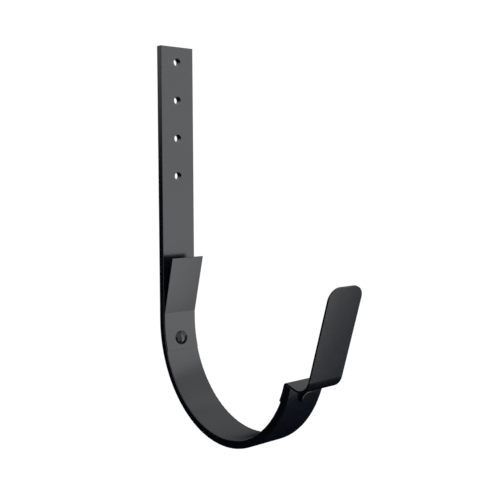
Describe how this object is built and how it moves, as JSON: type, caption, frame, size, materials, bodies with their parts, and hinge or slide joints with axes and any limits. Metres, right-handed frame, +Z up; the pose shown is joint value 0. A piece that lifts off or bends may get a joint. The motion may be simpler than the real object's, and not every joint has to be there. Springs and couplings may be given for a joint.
{
  "type": "gutter bracket",
  "caption": "Flat bar hook bracket for a half-round gutter, with a vertical row of fixing holes, a riveted rear tongue and a riveted front bead clip.",
  "frame": {"origin": "middle of the vertical row of fixing holes, on the back face of the shank", "axes": "+Y into the wall or rafter, -Y away from it, +Z up, X along the gutter"},
  "size_m": [0.025, 0.1628, 0.2485],
  "materials": {
    "bar_coat": "satin anthracite powder coat on steel",
    "clip_coat": "satin anthracite powder coat on steel sheet",
    "rivet_coat": "glossy anthracite powder coat on steel"
  },
  "bodies": {
    "root": {"hook_bar": "bar_coat", "rear_clip": "clip_coat", "rear_rivet": "rivet_coat", "front_clip": "clip_coat", "front_rivet": "rivet_coat"}
  },
  "joints": []
}
